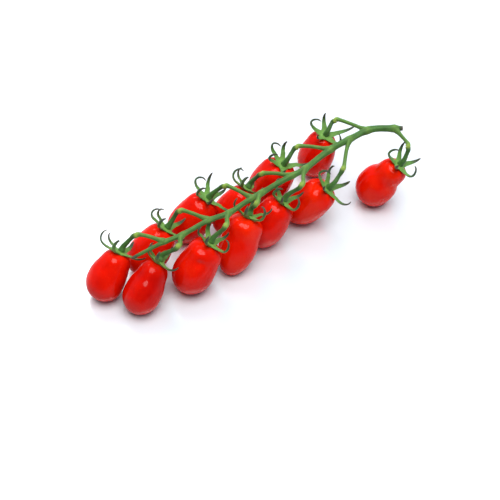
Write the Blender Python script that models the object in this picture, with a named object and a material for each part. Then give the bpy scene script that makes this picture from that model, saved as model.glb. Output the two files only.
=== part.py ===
# Truss of twelve plum cherry tomatoes lying on a flat surface, metres, +Z up.
# +X runs along the truss towards its cut end, +Y towards the back row of fruit.
# The origin is the bottom centre of the whole truss.
import bpy
import bmesh
import numpy as np
from math import radians, pi
from mathutils import Matrix

mm = 0.001

# driving dimensions, millimetres and degrees
size = {
    "fruitLength": 1.0,        # factor on every length in the fruit table
    "fruitWidth": 1.0,         # factor on every width in the fruit table
    "contactDepth": 0.25,      # how much of the underside is flattened by resting
    "clearance": 0.35,         # gap between pieces that touch
    "stemRadius": 2.1,         # main stem at its cut end
    "stemTipRadius": 0.9,
    "stemNodeSwell": 0.35,      # extra radius where a side stem leaves
    "sideStemRadius": 1.15,
    "sideStemFlare": 1.5,      # where it meets the main stem
    "knuckleRadius": 1.65,
    "stalkRadius": 1.15,
    "stalkEndRadius": 1.75,    # where it meets the calyx
    "calyxRadius": 2.5,
    "calyxThickness": 1.5,
    "sepalWidth": 3.8,
    "sepalTipWidth": 0.7,
    "sepalThickness": 1.0,
    "sepalTipThickness": 0.55,
    "sepalLength": 1.0,        # factor on every length in the sepal table
}
detail = {
    "fruitSides": 18, "fruitRings": 10,
    "mainSides": 10, "mainStep": 5.0,
    "stemSides": 8, "stemStep": 2.2,
    "stalkSides": 8, "stalkStep": 2.0,
    "sepalStations": 9,
}

# fruit: middle x, middle y, heading, lean below level, length, width, neck, widest place along it
fruitTable = [
    (-86.3, 21.3, -171, 51, 32.6, 22.9, 0.13, 0.63),
    (-73.4, 1.4, -168, 47, 34.7, 22.6, 0.13, 0.62),
    (-56.3, 23.3, -189, 51, 35.5, 24.5, 0.11, 0.57),
    (-41.4, -4.0, -185, 58, 36.7, 25.5, 0.12, 0.58),
    (-22.7, 29.7, -204, 55, 37.0, 24.6, 0.07, 0.56),
    (-12.1, -5.2, -162, 59, 39.9, 23.4, 0.08, 0.42),
    (2.5, 22.0, -178, 49, 33.3, 22.1, 0.12, 0.54),
    (13.5, 0.2, -193, 59, 36.0, 24.6, 0.12, 0.50),
    (33.9, 26.2, -223, 65, 35.9, 24.9, 0.04, 0.53),
    (43.5, 0.2, -222, 51, 36.2, 23.3, 0.02, 0.53),
    (72.3, 29.0, -227, 75, 35.4, 23.0, 0.09, 0.58),
    (90.1, -13.1, -219, 58, 37.1, 25.1, 0.19, 0.62),
]

# knuckle of each fruit, as an offset from its calyx end, and where along X its side stem leaves the main stem
knuckleTable = [
    ((9.6, -3.6, 12.4), -55.9),
    ((10.6, -4.9, 11.4), -45.0),
    ((8.6, -2.6, 12.2), -26.7),
    ((9.8, -1.7, 10.4), -14.6),
    ((9.1, -5.1, 10.0), 2.7),
    ((4.6, -1.1, 8.7), 9.5),
    ((7.3, -5.2, 13.0), 32.3),
    ((9.9, -4.5, 12.0), 41.5),
    ((9.7, -0.7, 10.6), 63.2),
    ((11.2, 0.2, 10.0), 77.6),
    ((7.2, 0.2, 8.8), 90.5),
    ((6.8, 1.2, 11.1), 105.0),
]

# main stem from the cut end to the dried tip, its height measured from the mean height of the calyx ends
mainPath = [
    (109.0, -7.0, 17), (102.6, -2.8, 17), (96.0, 2.2, 16.6), (89.5, 5.0, 16),
    (78.4, 5.7, 15), (66.8, 5.6, 15), (54.9, 4.8, 14), (41.5, 2.0, 14), (30.9, 2.6, 13),
    (19.8, 2.4, 13), (6.9, 1.7, 13), (-2.5, 1.4, 12.5), (-14.6, 0.5, 12), (-26.7, 3.4, 11),
    (-36.7, 3.0, 11), (-46.7, 3.6, 10), (-56.3, 5.8, 9), (-64.9, 7.4, 7), (-76.0, 9.6, 4),
]

# sepals of each calyx: place round the stalk, length, start and end of the curl, sideways turn
sepalTable = [
    [(22, 12, 5, 110, 15), (56, 21, -8, 150, 0), (92, 16, 0, 235, 10), (190, 15, 0, 60, 10), (275, 13, 0, 60, 0)],
    [(8, 11, 8, 130, 10), (58, 12, 5, 150, -5), (108, 12, 10, 120, 0), (160, 18, -6, 70, 0), (285, 14, 5, 110, 0)],
    [(30, 13, 0, 170, 10), (56, 18, -12, 195, 0), (106, 16, -5, 195, 0), (190, 14, 0, 60, 0), (290, 14, 0, 80, 0)],
    [(60, 12, 5, 120, 0), (120, 14, 10, 120, -10), (190, 19, -4, 205, 0), (275, 12, 5, 110, 0), (345, 19, 0, 205, 0)],
    [(0, 16, 0, 90, -10), (54, 20, -8, 218, 10), (104, 17, -5, 200, 0), (155, 14, 8, 120, 0), (230, 16, 0, 60, 0),
     (300, 12, 5, 110, 0)],
    [(45, 14, 10, 130, 20), (102, 13, 15, 120, 0), (160, 20, 0, 210, 0), (225, 13, 5, 95, 0), (295, 14, 5, 90, 10)],
    [(20, 13, 5, 130, 0), (54, 20, -8, 218, 10), (102, 17, -5, 205, 0), (165, 14, 5, 110, 0), (290, 15, 0, 70, -10)],
    [(20, 14, 10, 140, 20), (80, 16, 5, 210, 0), (130, 12, 15, 90, 0), (184, 20, 0, 215, 0), (280, 13, 5, 90, 0)],
    [(20, 15, 8, 140, 0), (58, 20, -6, 212, 10), (107, 17, -5, 200, 0), (175, 14, 5, 110, 0), (285, 14, 5, 70, 0)],
    [(20, 14, 10, 130, 15), (82, 19, 5, 220, 0), (145, 13, 15, 80, -20), (225, 18, 0, 110, 10), (305, 14, 5, 110, 0)],
    [(25, 13, 8, 110, 0), (86, 20, 3, 230, 10), (150, 12, 10, 90, 0), (232, 18, 0, 190, -15), (300, 18, 5, 60, 0)],
    [(10, 14, 8, 110, 0), (85, 18, 0, 220, 15), (148, 13, 10, 90, 0), (215, 19, 0, 210, -15), (300, 13, 5, 80, 0)],
]


def vec(*values):
    return np.array(values, float)


def unit(v):
    return v / max(np.linalg.norm(v), 1e-9)


def fruitProfile(t, neck, widest):
    # radius as a part of half the width, 0 at the calyx end and 1 at the blossom end
    up = (1 - np.clip((widest - t) / widest, 0, 1) ** 2.75) ** (1 / 2.75)
    low = (1 - np.clip((t - widest) / (1 - widest), 0, 1) ** 2.1) ** (1 / 1.9)
    return np.where(t < widest, up, low) * (1 - neck * np.exp(-((t - 0.18) / 0.2) ** 2))


def layFruit():
    # every fruit rests on the surface, then neighbours are nudged apart until they clear
    fruits = []
    ts = np.linspace(0.02, 0.98, 25)
    for x, y, heading, lean, length, width, neck, widest in fruitTable:
        length *= size["fruitLength"]
        width *= size["fruitWidth"]
        h, l = radians(heading), radians(lean)
        axis = vec(np.cos(h) * np.cos(l), np.sin(h) * np.cos(l), -np.sin(l))
        radii = width / 2 * fruitProfile(ts, neck, widest)
        fine = np.linspace(0, 1, 400)
        drop = (fine - 0.5) * length * axis[2] - width / 2 * fruitProfile(fine, neck, widest) * np.cos(l)
        fruits.append({"axis": axis, "length": length, "width": width, "neck": neck, "widest": widest,
                       "mid": vec(x, y, -drop.min() - size["contactDepth"]), "ts": ts, "radii": radii})
    for _ in range(400):
        moved = False
        for i, a in enumerate(fruits):
            for b in fruits[i + 1:]:
                pa = a["mid"] + np.outer((ts - 0.5) * a["length"], a["axis"])
                pb = b["mid"] + np.outer((ts - 0.5) * b["length"], b["axis"])
                gap = np.linalg.norm(pa[:, None] - pb[None], axis=2) - a["radii"][:, None] - b["radii"][None]
                k = np.unravel_index(gap.argmin(), gap.shape)
                if gap[k] < size["clearance"]:
                    away = pb[k[1]] - pa[k[0]]
                    away[2] = 0
                    push = unit(away) * (size["clearance"] - gap[k] + 0.02) * 0.5
                    a["mid"] = a["mid"] - push
                    b["mid"] = b["mid"] + push
                    moved = True
        if not moved:
            break
    for f in fruits:
        f["top"] = f["mid"] - f["axis"] * f["length"] / 2
        f["spheres"] = f["mid"] + np.outer((ts - 0.5) * f["length"], f["axis"])
    return fruits


def keepClear(points, margin, centres, radii, fixedStart, fixedEnd, rounds=60):
    # moves the free points of a path out of the spheres, and eases their neighbours along with them
    move = np.zeros_like(points)
    last = len(points) - 1
    free = range(fixedStart, len(points) - fixedEnd)
    for r in range(rounds):
        if r < rounds - 3:
            for i in free:
                around = (move[i - 1] + move[i + 1]) / 2 if i < last else move[i - 1]
                move[i] += 0.2 * (around - move[i])
        for i in free:
            away = points[i] + move[i] - centres
            dist = np.linalg.norm(away, axis=1)
            short = radii + margin[i] - dist
            k = short.argmax()
            if short[k] > 0:
                move[i] += away[k] / max(dist[k], 1e-6) * short[k]
    return points + move


def smoothPath(points, step):
    # a Catmull-Rom curve through the points, as evenly spaced stations
    points = np.asarray(points, float)
    ends = np.vstack([2 * points[0] - points[1], points, 2 * points[-1] - points[-2]])
    fine = []
    for i in range(1, len(ends) - 2):
        p0, p1, p2, p3 = ends[i - 1:i + 3]
        for t in np.linspace(0, 1, 12, endpoint=False):
            fine.append(0.5 * (2 * p1 + (p2 - p0) * t + (2 * p0 - 5 * p1 + 4 * p2 - p3) * t ** 2
                               + (3 * p1 - p0 - 3 * p2 + p3) * t ** 3))
    fine = np.array(fine + [points[-1]])
    along = np.concatenate([[0], np.cumsum(np.linalg.norm(np.diff(fine, axis=0), axis=1))])
    count = step if isinstance(step, int) else max(4, int(round(along[-1] / step)) + 1)
    want = np.linspace(0, along[-1], count)
    return np.column_stack([np.interp(want, along, fine[:, k]) for k in range(3)]), want


def frames(path, startSide):
    # turning frames along a path that don't twist
    tangents = np.gradient(path, axis=0)
    tangents = np.array([unit(t) for t in tangents])
    side = unit(startSide - tangents[0] * np.dot(startSide, tangents[0]))
    sides = []
    for t in tangents:
        side = unit(side - t * np.dot(side, t))
        sides.append(side)
    return tangents, np.array(sides)


def standing(point, up):
    # a place at a point with its own Z along up and its own X level
    x = unit(np.cross(vec(0, 0, 1), up)) if abs(up[2]) < 0.999 else vec(1, 0, 0)
    y = np.cross(up, x)
    place = Matrix([list(row) for row in np.column_stack([x, y, up])]).to_4x4()
    place.translation = [c * mm for c in point]
    return place


def addObject(name, bm, place, colour, rough, smooth=True):
    # bm holds the shape in millimetres about its own origin; place stands it in the truss
    bmesh.ops.scale(bm, vec=(mm, mm, mm), verts=bm.verts)
    bmesh.ops.triangulate(bm, faces=[f for f in bm.faces if len(f.verts) > 4])
    bmesh.ops.recalc_face_normals(bm, faces=bm.faces)
    mesh = bpy.data.meshes.new(name)
    bm.to_mesh(mesh)
    bm.free()
    if smooth:
        mesh.shade_smooth()
        mesh.set_sharp_from_angle(angle=radians(50))
    material = bpy.data.materials.new(name + "_material")
    material.use_nodes = True
    shader = material.node_tree.nodes["Principled BSDF"]
    shader.inputs["Base Color"].default_value = (*colour, 1)
    shader.inputs["Roughness"].default_value = rough
    mesh.materials.append(material)
    thing = bpy.data.objects.new(name, mesh)
    bpy.context.scene.collection.objects.link(thing)
    thing.parent = truss
    thing.location = place.translation
    thing.rotation_euler = place.to_euler()
    return thing


def local(place, points):
    # points of the truss as seen from a place, all in millimetres
    turn = np.array(place.to_3x3())
    return (np.asarray(points) - np.array(place.translation) / mm) @ turn


def onPlane(point, normal):
    # slides a ring along the tube onto a plane
    def place(v, t):
        return v + t * np.dot(point - v, normal) / np.dot(t, normal)
    return place


def tube(name, path, radii, sides, colour, startRing=None, endRing=None, clear=None):
    # a closed round tube whose end rings can be shaped, and whose first rings can be slid clear
    tangents, across = frames(path, vec(0, 0, 1) if abs(unit(path[1] - path[0])[2]) < 0.9 else vec(1, 0, 0))
    rings = []
    for p, t, s, r in zip(path, tangents, across, radii):
        u = np.cross(t, s)
        turns = 2 * pi * np.arange(sides) / sides
        rings.append([p + r * (np.cos(a) * s + np.sin(a) * u) for a in turns])
    first, last = path[0], path[-1]
    if clear is not None:
        for k in range(3):
            rings[k] = [clear(v, tangents[0], k) for v in rings[k]]
        first = clear(first, tangents[0], 0)
    if startRing is not None:
        rings[0] = [startRing(v, tangents[0]) for v in rings[0]]
        first = startRing(first, tangents[0])
    if endRing is not None:
        rings[-1] = [endRing(v, tangents[-1]) for v in rings[-1]]
        last = endRing(last, tangents[-1])
    place = standing(path[0], tangents[0])
    bm = bmesh.new()
    loops = [[bm.verts.new(v) for v in local(place, ring)] for ring in rings]
    for a, b in zip(loops, loops[1:]):
        for j in range(sides):
            bm.faces.new((a[j], a[(j + 1) % sides], b[(j + 1) % sides], b[j]))
    for middle, ring in ((first, loops[0]), (last, loops[-1])):
        cap = bm.verts.new(local(place, middle))
        for j in range(sides):
            bm.faces.new((cap, ring[(j + 1) % sides], ring[j]))
    return addObject(name, bm, place, colour, 0.55)


def buildFruit(name, f):
    # half an outline spun about the fruit's own axis, then flattened where it rests
    place = standing(f["top"], -f["axis"])
    count = detail["fruitRings"]
    ts = 0.5 - 0.5 * np.cos(pi * np.arange(count + 2) / (count + 1))
    rs = f["width"] / 2 * fruitProfile(ts, f["neck"], f["widest"])
    bm = bmesh.new()
    outline = [bm.verts.new((r, 0, -t * f["length"])) for t, r in zip(ts, rs)]
    edges = [bm.edges.new(pair) for pair in zip(outline, outline[1:])]
    bmesh.ops.spin(bm, geom=outline + edges, cent=(0, 0, 0), axis=(0, 0, 1), angle=2 * pi,
                   steps=detail["fruitSides"])
    bmesh.ops.remove_doubles(bm, verts=bm.verts, dist=1e-3)
    down = local(place, [vec(0, 0, 0), vec(0, 0, 1)])
    cut = bmesh.ops.bisect_plane(bm, geom=bm.verts[:] + bm.edges[:] + bm.faces[:], dist=1e-4,
                                 plane_co=down[0], plane_no=down[1] - down[0], clear_inner=True)
    bmesh.ops.contextual_create(bm, geom=[e for e in cut["geom_cut"] if isinstance(e, bmesh.types.BMEdge)])
    bmesh.ops.triangulate(bm, faces=[q for q in bm.faces if len(q.verts) > 4])
    bmesh.ops.remove_doubles(bm, verts=bm.verts, dist=0.02)
    return addObject(name, bm, place, (0.62, 0.02, 0.008), 0.25)


def calyxFrame(f):
    out = -f["axis"]
    b = unit(np.cross(vec(0, 0, 1), out))
    return out, b, np.cross(out, b)


def sepalPath(f, phase, length, curlStart, curlEnd, turn, obstacles):
    out, b, c = calyxFrame(f)
    n = detail["sepalStations"]
    length *= size["sepalLength"]
    hub = f["top"] + out * (size["clearance"] + size["calyxThickness"] / 2)
    points = [hub + size["calyxRadius"] * (np.cos(radians(phase)) * b + np.sin(radians(phase)) * c)]
    for k in range(n - 1):
        s = (k + 0.5) / (n - 1)
        a = radians(phase + turn * s)
        lift = radians(curlStart + (curlEnd - curlStart) * s ** 1.9)
        outward = np.cos(a) * b + np.sin(a) * c
        points.append(points[-1] + length / (n - 1) * (np.cos(lift) * outward + np.sin(lift) * out))
    points = np.array(points)
    margin = np.full(n, size["sepalThickness"] / 2 + size["clearance"] + 0.25)
    own = (f["spheres"][1:], f["radii"][1:])
    points = keepClear(points, margin, *own, 2, 0)
    width = sepalWidths()
    centres, radii = obstacles
    points = keepClear(points, width / 2 + size["clearance"] + 0.2, centres, radii, 3, 0)
    return points


def sepalWidths():
    s = np.linspace(0, 1, detail["sepalStations"])
    body = (1 - s) ** 1.1 * (0.8 + 0.7 * s)
    return size["sepalTipWidth"] + (size["sepalWidth"] - size["sepalTipWidth"]) * body


def buildCalyx(name, f, sepals, obstacles):
    # a low hub whose sides grow out into sepals with a raised rib along the back
    out, b, c = calyxFrame(f)
    base = f["top"] + out * size["clearance"]
    n, count = detail["sepalStations"], len(sepals)
    phases = [s[0] for s in sepals]
    edgeAngles = [radians((phases[i] + phases[(i + 1) % count] + (360 if i == count - 1 else 0)) / 2)
                  for i in range(count)]
    ring = lambda a, r, h: base + out * h + r * (np.cos(a) * b + np.sin(a) * c)
    verts, faces = [], []
    high = size["calyxThickness"]
    shared = []
    for a in edgeAngles:
        verts.append(ring(a, size["calyxRadius"] * 0.82, high / 2))
        shared.append(len(verts) - 1)
    tops, lows, paths = [], [], []
    widths = sepalWidths()
    thick = np.linspace(size["sepalThickness"], size["sepalTipThickness"], n)
    for i, s in enumerate(sepals):
        path = sepalPath(f, *s, obstacles)
        paths.append(path)
        tangents, _ = frames(path, out)
        a = radians(s[0])
        side = -np.sin(a) * b + np.cos(a) * c
        verts.append(ring(a, size["calyxRadius"] * 0.9, high))
        verts.append(ring(a, size["calyxRadius"] * 0.9, 0))
        right, left = shared[(i - 1) % count], shared[i]
        last = (right, len(verts) - 2, left, len(verts) - 1)
        tops.append(last[1])
        lows.append(last[3])
        for k in range(1, n):
            t = tangents[k]
            side = unit(side - t * np.dot(side, t))
            up = np.cross(t, side)
            if k == 1 and np.dot(up, out) < 0:
                up = -up
            up = unit(up)
            p, w, h = path[k], widths[k] / 2, thick[k] / 2
            start = len(verts)
            verts += [p - side * w, p + up * h, p + side * w, p - up * h]
            now = (start, start + 1, start + 2, start + 3)
            for q in range(4):
                faces.append((last[q], last[(q + 1) % 4], now[(q + 1) % 4], now[q]))
            last = now
        faces.append(last)
    verts.append(base + out * high)
    verts.append(base)
    top, low = len(verts) - 2, len(verts) - 1
    for i in range(count):
        right, left = shared[(i - 1) % count], shared[i]
        faces += [(top, right, tops[i]), (top, tops[i], left), (low, lows[i], right), (low, left, lows[i])]
    place = standing(base, out)
    bm = bmesh.new()
    points = [bm.verts.new(v) for v in local(place, verts)]
    for face in faces:
        bm.faces.new([points[k] for k in face])
    addObject(name, bm, place, (0.13, 0.42, 0.06), 0.6, False)
    return paths


def clearStart(centres, radii):
    # slides the first rings of a side stem along it until they just clear the main stem
    def place(v, t, ring):
        start = v - t * 1.0 if ring == 0 else v
        for k in range(160):
            p = start + t * 0.08 * k
            if (np.linalg.norm(p - centres, axis=1) - radii).min() > size["clearance"] + 0.08 + 0.35 * ring:
                return p
        return v
    return place


def sampleTube(path, radii, step=0.6):
    # a dense row of spheres that fills a tube
    centres, sizes = [], []
    for (p, q), (r, s) in zip(zip(path, path[1:]), zip(radii, radii[1:])):
        for t in np.linspace(0, 1, max(2, int(np.linalg.norm(q - p) / step) + 1)):
            centres.append(p + (q - p) * t)
            sizes.append(r + (s - r) * t)
    return np.array(centres), np.array(sizes)


def build():
    fruits = layFruit()
    green, stemGreen = (0.16, 0.36, 0.08), (0.10, 0.27, 0.06)
    fruitCentres = np.vstack([f["spheres"] for f in fruits])
    fruitRadii = np.concatenate([f["radii"] for f in fruits])

    calyxHeight = np.mean([f["top"][2] for f in fruits])
    path, along = smoothPath(np.array(mainPath) + vec(0, 0, calyxHeight), detail["mainStep"])
    radii = size["stemTipRadius"] + (size["stemRadius"] - size["stemTipRadius"]) * np.interp(
        along / along[-1], [0, 0.1, 0.5, 0.85, 1], [1, 0.95, 0.62, 0.4, 0])
    dense, _ = smoothPath(path, 0.5)
    joints = [dense[np.abs(dense[:, 0] - x).argmin()] for _, x in knuckleTable]
    for j in joints:
        radii += size["stemNodeSwell"] * np.exp(-(np.linalg.norm(path - j, axis=1) / 3.0) ** 2)
    tube("main_stem", path, radii, detail["mainSides"], stemGreen)
    mainCentres, mainRadii = sampleTube(path, radii)

    stems = []
    for i, f in enumerate(fruits):
        knuckle, start = f["top"] + vec(*knuckleTable[i][0]), joints[i]
        out = -f["axis"]
        end = f["top"] + out * (size["calyxThickness"] + 2 * size["clearance"])
        # the side stem rises off the main stem, and bends down at the knuckle
        lift = (start + knuckle) / 2 + vec(0, 0, 1.4)
        cut = unit(unit(knuckle - start) + 1.1 * unit(end - knuckle))
        half = cut * size["clearance"] / 2
        sidePath, _ = smoothPath([start, lift, knuckle - cut * 2.0, knuckle - half], 24)
        away = np.linalg.norm(sidePath - start, axis=1) > 2.6
        sidePath = sidePath[away.argmax():]
        sidePath, sideAlong = smoothPath(sidePath, detail["stemStep"])
        s = sideAlong / sideAlong[-1]
        sideRadii = np.interp(s, [0, 0.3, 0.72, 1], [size["sideStemFlare"], size["sideStemRadius"],
                                                      size["sideStemRadius"], size["knuckleRadius"]])
        stalkPath, stalkAlong = smoothPath([knuckle + half, knuckle + cut * 1.9, end + out * 2.2, end],
                                           detail["stalkStep"])
        s = stalkAlong / stalkAlong[-1]
        stalkRadii = np.interp(s, [0, 0.28, 0.6, 1], [size["knuckleRadius"], size["stalkRadius"],
                                                       size["stalkRadius"] + 0.15, size["stalkEndRadius"]])
        margin = np.full(len(stalkPath), size["stalkEndRadius"] + size["clearance"])
        stalkPath = keepClear(stalkPath, margin, fruitCentres, fruitRadii, 1, 2)
        place = clearStart(mainCentres, mainRadii)
        tube("side_stem_%02d" % (i + 1), sidePath, sideRadii, detail["stemSides"], green,
             endRing=onPlane(knuckle - half, cut), clear=place)
        tube("fruit_stalk_%02d" % (i + 1), stalkPath, stalkRadii, detail["stalkSides"], green,
             startRing=onPlane(knuckle + half, cut), endRing=onPlane(end, out))
        stems.append((sampleTube(sidePath, sideRadii), sampleTube(stalkPath, stalkRadii)))

    calyxPaths = []
    for i, f in enumerate(fruits):
        centres, sizes = [mainCentres], [mainRadii]
        for j, (side, stalk) in enumerate(stems):
            for (c, r) in (side, stalk):
                keep = np.linalg.norm(c - f["top"], axis=1) > (6.5 if j == i else 0)
                centres.append(c[keep])
                sizes.append(r[keep])
            if j != i:
                centres.append(fruits[j]["spheres"])
                sizes.append(fruits[j]["radii"])
        for p in calyxPaths:
            centres.append(p)
            sizes.append(np.full(len(p), size["sepalWidth"] / 2))
        obstacles = (np.vstack(centres), np.concatenate(sizes))
        paths = buildCalyx("calyx_%02d" % (i + 1), f, sepalTable[i], obstacles)
        calyxPaths += paths
        buildFruit("tomato_%02d" % (i + 1), f)


def centre():
    # the bottom centre of everything becomes the origin
    corners = np.array([thing.matrix_basis @ v.co for thing in truss.children for v in thing.data.vertices])
    low, high = corners.min(0), corners.max(0)
    truss.location = (-(low[0] + high[0]) / 2, -(low[1] + high[1]) / 2, -low[2])
    print("moved by mm", np.round(np.array(truss.location) / mm, 3), "size mm", np.round((high - low) / mm, 2))


for thing in list(bpy.data.objects):
    bpy.data.objects.remove(thing)
truss = bpy.data.objects.new("truss", None)
bpy.context.scene.collection.objects.link(truss)
build()
centre()
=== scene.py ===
from math import atan2, cos, hypot, pi, radians, sin

import bmesh
import bpy
import numpy as np
from mathutils import Matrix, Vector, noise


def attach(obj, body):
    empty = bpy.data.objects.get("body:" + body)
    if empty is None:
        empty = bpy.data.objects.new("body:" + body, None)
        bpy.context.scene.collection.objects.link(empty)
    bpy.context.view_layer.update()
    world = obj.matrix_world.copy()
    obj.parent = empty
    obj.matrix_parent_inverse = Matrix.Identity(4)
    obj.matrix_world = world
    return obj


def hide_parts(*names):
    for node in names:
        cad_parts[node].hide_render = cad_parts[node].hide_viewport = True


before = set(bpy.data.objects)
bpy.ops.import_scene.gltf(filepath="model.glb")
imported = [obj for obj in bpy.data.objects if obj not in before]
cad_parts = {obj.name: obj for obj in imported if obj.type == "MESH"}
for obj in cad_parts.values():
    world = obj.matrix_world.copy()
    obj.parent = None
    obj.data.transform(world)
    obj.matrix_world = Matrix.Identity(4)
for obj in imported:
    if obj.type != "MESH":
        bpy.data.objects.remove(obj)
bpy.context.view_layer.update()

mm = 0.001
origin = (5.945, 4.809, 0.0)  # bottom centre of the truss in the layout's own millimetres

# the layout has the same design values as the model's source, in millimetres and degrees
layout = {
    "contactDepth": 0.25,
    "clearance": 0.35,
    "stemRadius": 2.1,
    "stemTipRadius": 0.9,
    "stemNodeSwell": 0.35,
    "sideStemRadius": 1.15,
    "knuckleRadius": 1.65,
    "stalkRadius": 1.15,
    "stalkEndRadius": 1.75,
    "calyxRadius": 2.5,
    "calyxThickness": 1.5,
    "sepalWidth": 3.8,
    "sepalTipWidth": 0.7,
    "sepalThickness": 1.0,
    "sepalStations": 9,
    "sepalCurlPower": 1.9,  # above 1 the curl gathers towards the tip
    "sepalSpare": (0.25, 0.2),  # extra room over its own fruit, and over everything else
}

# where the main stem narrows, from the cut end to the dried tip
stemTaper = ([0, 0.1, 0.5, 0.85, 1], [1, 0.95, 0.62, 0.4, 0])

# fruit: middle x, middle y, heading, lean below level, length, width, neck, widest place along it
fruitTable = [
    (-86.3, 21.3, -171, 51, 32.6, 22.9, 0.13, 0.63),
    (-73.4, 1.4, -168, 47, 34.7, 22.6, 0.13, 0.62),
    (-56.3, 23.3, -189, 51, 35.5, 24.5, 0.11, 0.57),
    (-41.4, -4.0, -185, 58, 36.7, 25.5, 0.12, 0.58),
    (-22.7, 29.7, -204, 55, 37.0, 24.6, 0.07, 0.56),
    (-12.1, -5.2, -162, 59, 39.9, 23.4, 0.08, 0.42),
    (2.5, 22.0, -178, 49, 33.3, 22.1, 0.12, 0.54),
    (13.5, 0.2, -193, 59, 36.0, 24.6, 0.12, 0.50),
    (33.9, 26.2, -223, 65, 35.9, 24.9, 0.04, 0.53),
    (43.5, 0.2, -222, 51, 36.2, 23.3, 0.02, 0.53),
    (72.3, 29.0, -227, 75, 35.4, 23.0, 0.09, 0.58),
    (90.1, -13.1, -219, 58, 37.1, 25.1, 0.19, 0.62),
]

# knuckle of each fruit as an offset from its calyx end, and the X where its side stem leaves the main stem
knuckleTable = [
    ((9.6, -3.6, 12.4), -55.9),
    ((10.6, -4.9, 11.4), -45.0),
    ((8.6, -2.6, 12.2), -26.7),
    ((9.8, -1.7, 10.4), -14.6),
    ((9.1, -5.1, 10.0), 2.7),
    ((4.6, -1.1, 8.7), 9.5),
    ((7.3, -5.2, 13.0), 32.3),
    ((9.9, -4.5, 12.0), 41.5),
    ((9.7, -0.7, 10.6), 63.2),
    ((11.2, 0.2, 10.0), 77.6),
    ((7.2, 0.2, 8.8), 90.5),
    ((6.8, 1.2, 11.1), 105.0),
]

# main stem from the cut end to the dried tip, its height measured from the mean height of the calyx ends
mainPath = [
    (109.0, -7.0, 17), (102.6, -2.8, 17), (96.0, 2.2, 16.6), (89.5, 5.0, 16),
    (78.4, 5.7, 15), (66.8, 5.6, 15), (54.9, 4.8, 14), (41.5, 2.0, 14), (30.9, 2.6, 13),
    (19.8, 2.4, 13), (6.9, 1.7, 13), (-2.5, 1.4, 12.5), (-14.6, 0.5, 12), (-26.7, 3.4, 11),
    (-36.7, 3.0, 11), (-46.7, 3.6, 10), (-56.3, 5.8, 9), (-64.9, 7.4, 7), (-76.0, 9.6, 4),
]

# sepals of each calyx: place round the stalk, length, start and end of the curl, sideways turn
sepalTable = [
    [(22, 12, 5, 110, 15), (56, 21, -8, 150, 0), (92, 16, 0, 235, 10), (190, 15, 0, 60, 10),
     (275, 13, 0, 60, 0)],
    [(8, 11, 8, 130, 10), (58, 12, 5, 150, -5), (108, 12, 10, 120, 0), (160, 18, -6, 70, 0),
     (285, 14, 5, 110, 0)],
    [(30, 13, 0, 170, 10), (56, 18, -12, 195, 0), (106, 16, -5, 195, 0), (190, 14, 0, 60, 0),
     (290, 14, 0, 80, 0)],
    [(60, 12, 5, 120, 0), (120, 14, 10, 120, -10), (190, 19, -4, 205, 0), (275, 12, 5, 110, 0),
     (345, 19, 0, 205, 0)],
    [(0, 16, 0, 90, -10), (54, 20, -8, 218, 10), (104, 17, -5, 200, 0), (155, 14, 8, 120, 0),
     (230, 16, 0, 60, 0), (300, 12, 5, 110, 0)],
    [(45, 14, 10, 130, 20), (102, 13, 15, 120, 0), (160, 20, 0, 210, 0), (225, 13, 5, 95, 0),
     (295, 14, 5, 90, 10)],
    [(20, 13, 5, 130, 0), (54, 20, -8, 218, 10), (102, 17, -5, 205, 0), (165, 14, 5, 110, 0),
     (290, 15, 0, 70, -10)],
    [(20, 14, 10, 140, 20), (80, 16, 5, 210, 0), (130, 12, 15, 90, 0), (184, 20, 0, 215, 0),
     (280, 13, 5, 90, 0)],
    [(20, 15, 8, 140, 0), (58, 20, -6, 212, 10), (107, 17, -5, 200, 0), (175, 14, 5, 110, 0),
     (285, 14, 5, 70, 0)],
    [(20, 14, 10, 130, 15), (82, 19, 5, 220, 0), (145, 13, 15, 80, -20), (225, 18, 0, 110, 10),
     (305, 14, 5, 110, 0)],
    [(25, 13, 8, 110, 0), (86, 20, 3, 230, 10), (150, 12, 10, 90, 0), (232, 18, 0, 190, -15),
     (300, 18, 5, 60, 0)],
    [(10, 14, 8, 110, 0), (85, 18, 0, 220, 15), (148, 13, 10, 90, 0), (215, 19, 0, 210, -15),
     (300, 13, 5, 80, 0)],
]


def vec(*values):
    return np.array(values, float)


def unit(v):
    return v / max(np.linalg.norm(v), 1e-9)


def hump(distance, reach):
    # 1 in the middle, fading smoothly to 0
    return np.exp(-(distance / reach) ** 2)


profileShape = {"shoulderPower": 2.75, "tipPower": 2.1, "tipRoot": 1.9, "neckPlace": 0.18, "neckReach": 0.2}


def fruitProfile(t, neck, widest):
    # radius as a part of half the width; t runs from 0 at the calyx end to 1 at the blossom end
    shoulder = profileShape["shoulderPower"]
    upper = (1 - np.clip((widest - t) / widest, 0, 1) ** shoulder) ** (1 / shoulder)
    lower = 1 - np.clip((t - widest) / (1 - widest), 0, 1) ** profileShape["tipPower"]
    lower = lower ** (1 / profileShape["tipRoot"])
    return np.where(t < widest, upper, lower) * (
        1 - neck * hump(t - profileShape["neckPlace"], profileShape["neckReach"]))


fruitLay = {"spheres": 25, "fineSteps": 400, "nudges": 400, "nudgeSpare": 0.02}


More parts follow.
